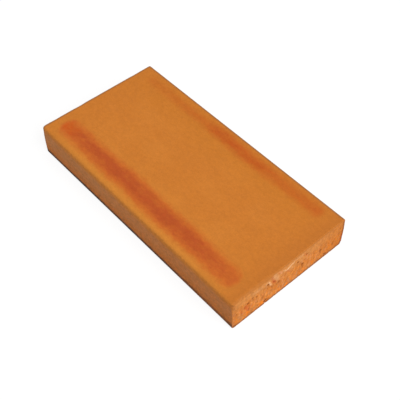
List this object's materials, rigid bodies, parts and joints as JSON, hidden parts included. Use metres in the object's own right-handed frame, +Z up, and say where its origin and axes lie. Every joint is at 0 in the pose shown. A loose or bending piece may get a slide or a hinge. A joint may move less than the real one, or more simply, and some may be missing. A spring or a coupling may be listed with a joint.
{
  "type": "clay brick",
  "caption": "Thin solid orange clay brick for laying in mortar, extruded and wire-cut, with rounded long edges, torn cut ends and darker flash bands along its face.",
  "frame": {"origin": "centre of the bed, the face that the brick lies on", "axes": "+X along the length, towards cut_end_front, the end that the picture shows; +Y across the width; +Z up through the thickness, out of the face with the flash bands"},
  "size_m": [0.22, 0.11, 0.03],
  "materials": {
    "fired_clay": "matte, smooth extruded faces with soft darker flash bands, torn grain on the two cut ends"
  },
  "bodies": {
    "root": {"brick": "fired_clay"}
  },
  "joints": []
}
